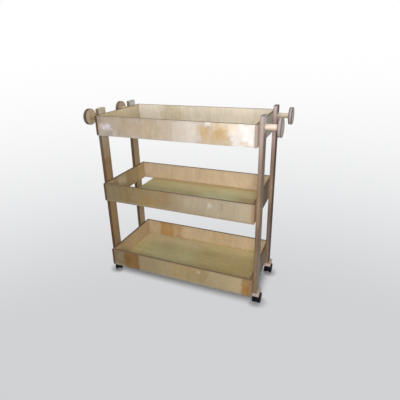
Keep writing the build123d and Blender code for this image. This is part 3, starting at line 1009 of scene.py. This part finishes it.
def cross_screw(outline, arm, arm_width, depth):
    """A screw that points down -Z from the face of its head, with a cross recess.

    outline holds the radius and depth of each ring, from the edge of the head's face to the tip.
    """
    mesh = bmesh.new()
    angles = [2 * math.pi * turn / TURNS for turn in range(TURNS)]
    rings = []
    for radius, drop in outline:
        rings.append([mesh.verts.new((radius * math.cos(a), radius * math.sin(a), -drop)) for a in angles])
    for upper, lower in zip(rings, rings[1:]):
        for turn in range(TURNS):
            after = (turn + 1) % TURNS
            mesh.faces.new((upper[turn], lower[turn], lower[after], upper[after]))
    mesh.faces.new(reversed(rings[-1]))

    half = arm_width / 2
    quarter = [(half, half), (half, arm), (-half, arm)]
    cross = []
    for turn in range(4):
        rotation = Matrix.Rotation(math.pi / 2 * turn, 3, "Z")
        cross += [rotation @ Vector((x, y, 0.0)) for x, y in quarter]
    mouth = [mesh.verts.new(point) for point in cross]
    base = [mesh.verts.new((RECESS_FLOOR * point.x, RECESS_FLOOR * point.y, -depth)) for point in cross]
    count = len(mouth)
    rim_edges = [mesh.edges.get((rings[0][i], rings[0][(i + 1) % TURNS])) for i in range(TURNS)]
    mouth_edges = [mesh.edges.new((mouth[i], mouth[(i + 1) % count])) for i in range(count)]
    bmesh.ops.triangle_fill(mesh, edges=rim_edges + mouth_edges, use_beauty=True, normal=(0.0, 0.0, 1.0))
    for i in range(count):
        after = (i + 1) % count
        mesh.faces.new((mouth[i], mouth[after], base[after], base[i]))
    mesh.faces.new(base)
    bmesh.ops.recalc_face_normals(mesh, faces=mesh.faces)
    data = bpy.data.meshes.new("cross_screw")
    mesh.to_mesh(data)
    mesh.free()
    return data


def countersunk(place):
    """The outline of a wood screw with a flat head."""
    r, length = place.radius, place.length
    return [(r, 0.0), (0.97 * r, 0.06 * r), (0.5 * r, 0.5 * r), (0.5 * r, length - r), (0.1 * r, length)]


def pan_head(place):
    """The outline of a screw with a domed head."""
    r, length = place.radius, place.length
    dome = [(0.62 * r, 0.0), (0.86 * r, 0.08 * r), (0.97 * r, 0.26 * r), (r, 0.59 * r)]
    return dome + [(0.5 * r, 0.6 * r), (0.5 * r, length - 0.5 * r), (0.1 * r, length)]


def add_screws(node, outline, material):
    """Cross-head screws in the place of a node of plain ones."""
    places = [screw_place(part) for part in loose_parts(node)]
    radius = places[0].radius
    recess = RECESS_ARM * radius, RECESS_WIDTH * radius, RECESS_DEPTH * radius
    screw = cross_screw(outline(places[0]), *recess)
    mesh = bmesh.new()
    for step, place in enumerate(places):
        start = len(mesh.verts)
        mesh.from_mesh(screw)
        mesh.verts.ensure_lookup_table()
        turn = Matrix.Rotation(TWIST * step, 4, "Z")
        lie = place.out.to_track_quat("Z", "Y").to_matrix().to_4x4()
        matrix = Matrix.Translation(place.face) @ lie @ turn
        bmesh.ops.transform(mesh, matrix=matrix, verts=mesh.verts[start:])
    data = bpy.data.meshes.new(f"{node}_cross")
    mesh.to_mesh(data)
    mesh.free()
    data.materials.append(material)
    data.shade_smooth()
    data.set_sharp_from_angle(angle=SHARP)
    bpy.data.meshes.remove(screw)
    piece = bpy.data.objects.new(f"{node}_cross", data)
    bpy.context.scene.collection.objects.link(piece)
    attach(piece, "trolley")
    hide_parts(node)


class TROLLEY_OT_screws(bpy.types.Operator):
    """Make the screws with their cross recesses"""

    bl_idname = "trolley.screws"
    bl_label = "Screws"

    def execute(self, context):
        caster = context.scene.trolley.caster
        yellow = plated_finish("yellow_zinc", tuple(caster.brass), SEEDS["screws"])
        for node in ("post_screws", "corner_screws", "peg_screws", "pad_screws"):
            add_screws(node, countersunk, yellow)
        add_screws("caster_screws", pan_head, yellow)
        return {"FINISHED"}


# Studio


FLOOR_REACH = 40.0  # half the floor's width
NEAR = (-0.02, 0.66)  # one over the distances at which the floor has the backdrop's tone and its own
SHADOW_MIDDLE = -0.014  # along X, of the place under the trolley where the floor takes the shadow
SHADOW_HALF = (0.399, 0.110)  # half the length and half the depth of that place
SHADOW_FADE = 0.062  # how far outside it the shadow ends
CASTER_SHADOW = (0.025, 0.062)  # radii round each caster where the shadow is whole and where it ends
LAMP_AIM = Vector((0.0, 0.0, 0.55))
TOP_SIZE, TOP_PLACE = 1.6, Vector((0.0, -0.1, 2.6))
BACK_SIZE, BACK_PLACE = 1.4, Vector((-0.7, 2.4, 1.3))
SENSOR = 36.0  # in millimetres
SHIFT = (0.01315, -0.0364)  # of the optical axis, in widths of the picture
VIEW_END = 200.0


def seen_rays(nodes):
    """1 for the rays that show the backdrop itself, and 0 for those that carry light."""
    camera = nodes.add("ShaderNodeLightPath", output="Is Camera Ray")
    glossy = nodes.add("ShaderNodeLightPath", output="Is Glossy Ray")
    through = nodes.add("ShaderNodeLightPath", output="Is Transmission Ray")
    return camera.most(glossy).most(through)


def view_axes(studio):
    """The camera's right, up and forward directions."""
    turn, tilt, roll = studio.camera_turn
    ahead = Vector((-math.sin(turn) * math.cos(tilt), math.cos(turn) * math.cos(tilt), -math.sin(tilt)))
    level = Vector((math.cos(turn), math.sin(turn), 0.0))
    upright = level.cross(ahead)
    right = math.cos(roll) * level + math.sin(roll) * upright
    up = math.cos(roll) * upright - math.sin(roll) * level
    return right, up, ahead


def add_floor(context, studio):
    """A floor that keeps the shadow under the trolley and fades to white with the distance."""
    corners = [(x * FLOOR_REACH, y * FLOOR_REACH, 0.0) for x, y in ((-1, -1), (1, -1), (1, 1), (-1, 1))]
    mesh = bpy.data.meshes.new("studio_floor")
    mesh.from_pydata(corners, [], [(0, 1, 2, 3)])
    floor = bpy.data.objects.new("studio_floor", mesh)
    context.scene.collection.objects.link(floor)

    finish = Finish("studio_floor", Roughness=0.9, Specular_IOR_Level=0.1)
    x, y, _ = studio.camera_place
    sockets = {0: finish.point, 1: (x, y, 0.0)}
    distance = finish.add("ShaderNodeVectorMath", {"operation": "DISTANCE"}, sockets, "Value")
    near = (1.0 / distance.most(0.5)).rise(*NEAR)
    finish.feed(finish.surface.inputs["Base Color"], tuple(studio.paint))
    glow_colour = finish.mix(near, tuple(studio.backdrop), tuple(studio.floor))
    glow = finish.add("ShaderNodeEmission", None, {"Color": glow_colour})
    beside = (abs(finish.part(finish.point, "X") - SHADOW_MIDDLE) - SHADOW_HALF[0]).most(0.0)
    before = (abs(finish.part(finish.point, "Y")) - SHADOW_HALF[1]).most(0.0)
    clear = ((beside * beside + before * before) ** 0.5).rise(0.0, SHADOW_FADE)
    for corner in CORNERS:
        low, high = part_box(f"caster_hood_{corner}")
        middle = (low + high) / 2
        sockets = {0: finish.point, 1: (middle.x, middle.y, 0.0)}
        apart = finish.add("ShaderNodeVectorMath", {"operation": "DISTANCE"}, sockets, "Value")
        clear = clear.least(apart.rise(*CASTER_SHADOW))
    share = seen_rays(finish) * clear
    lit = Wire(finish, finish.surface.outputs[0])
    finish.show("Material Output", finish.add("ShaderNodeMixShader", None, {0: share, 1: lit, 2: glow}))
    mesh.materials.append(finish.material)


def add_light(context, studio):
    """A lamp beside the camera, wide ones overhead and behind, and soft light from all round."""
    world = bpy.data.worlds.new("studio")
    context.scene.world = world
    world.use_nodes = True
    nodes = Nodes(world.node_tree)
    nodes.tree.nodes.remove(nodes.tree.nodes["Background"])
    soft = nodes.add("ShaderNodeBackground", None, {"Color": (1.0, 1.0, 1.0), "Strength": studio.fill})
    backdrop = nodes.add("ShaderNodeBackground", None, {"Color": tuple(studio.backdrop), "Strength": 1.0})
    sockets = {0: seen_rays(nodes), 1: soft, 2: backdrop}
    nodes.show("World Output", nodes.add("ShaderNodeMixShader", None, sockets))

    lamps = (
        ("key", studio.key_power, studio.key_size, Vector(studio.key_place)),
        ("top", studio.top_power, TOP_SIZE, TOP_PLACE),
        ("back", studio.back_power, BACK_SIZE, BACK_PLACE),
    )
    for name, power, size, place in lamps:
        lamp = bpy.data.lights.new(name, "AREA")
        lamp.energy = power
        lamp.size = size
        lit = bpy.data.objects.new(name, lamp)
        lit.location = place
        lit.rotation_euler = (LAMP_AIM - place).to_track_quat("-Z", "Y").to_euler()
        lit.visible_glossy = name != "back"
        context.scene.collection.objects.link(lit)


def add_camera(context, studio):
    """The camera, with its optical axis a little off the middle of the picture."""
    right, up, ahead = view_axes(studio)
    data = bpy.data.cameras.new("camera")
    data.lens = studio.lens
    data.sensor_width = SENSOR
    data.shift_x, data.shift_y = SHIFT
    data.clip_end = VIEW_END
    camera = bpy.data.objects.new("camera", data)
    axes = Matrix((right, up, -ahead)).transposed()
    camera.matrix_world = Matrix.Translation(studio.camera_place) @ axes.to_4x4()
    context.scene.collection.objects.link(camera)
    context.scene.camera = camera


class TROLLEY_OT_studio(bpy.types.Operator):
    """Set up the floor, the light and the camera"""

    bl_idname = "trolley.studio"
    bl_label = "Studio"

    def execute(self, context):
        studio = context.scene.trolley.studio
        add_floor(context, studio)
        add_light(context, studio)
        add_camera(context, studio)
        context.scene.view_settings.view_transform = "Standard"
        return {"FINISHED"}


# Add-on


STEPS = (
    TROLLEY_OT_trays,
    TROLLEY_OT_posts,
    TROLLEY_OT_pegs,
    TROLLEY_OT_casters,
    TROLLEY_OT_screws,
    TROLLEY_OT_studio,
)


class TROLLEY_PT_panel(bpy.types.Panel):
    """The trolley's steps and settings"""

    bl_idname = "TROLLEY_PT_panel"
    bl_label = "Trolley"
    bl_space_type = "VIEW_3D"
    bl_region_type = "UI"
    bl_category = "Trolley"

    def draw(self, context):
        layout = self.layout
        for step in STEPS:
            layout.operator(step.bl_idname)
        settings = context.scene.trolley
        for group in (settings.wood, settings.caster, settings.studio):
            box = layout.box()
            for name in group.__annotations__:
                box.prop(group, name)


CLASSES = (WoodSettings, CasterSettings, StudioSettings, TrolleySettings, *STEPS, TROLLEY_PT_panel)


def register():
    for cls in CLASSES:
        bpy.utils.register_class(cls)
    bpy.types.Scene.trolley = PointerProperty(type=TrolleySettings)


def unregister():
    del bpy.types.Scene.trolley
    for cls in reversed(CLASSES):
        bpy.utils.unregister_class(cls)


def main():
    register()
    bpy.ops.trolley.trays()
    bpy.ops.trolley.posts()
    bpy.ops.trolley.pegs()
    bpy.ops.trolley.casters()
    bpy.ops.trolley.screws()
    bpy.ops.trolley.studio()


if __name__ == "__main__":
    main()
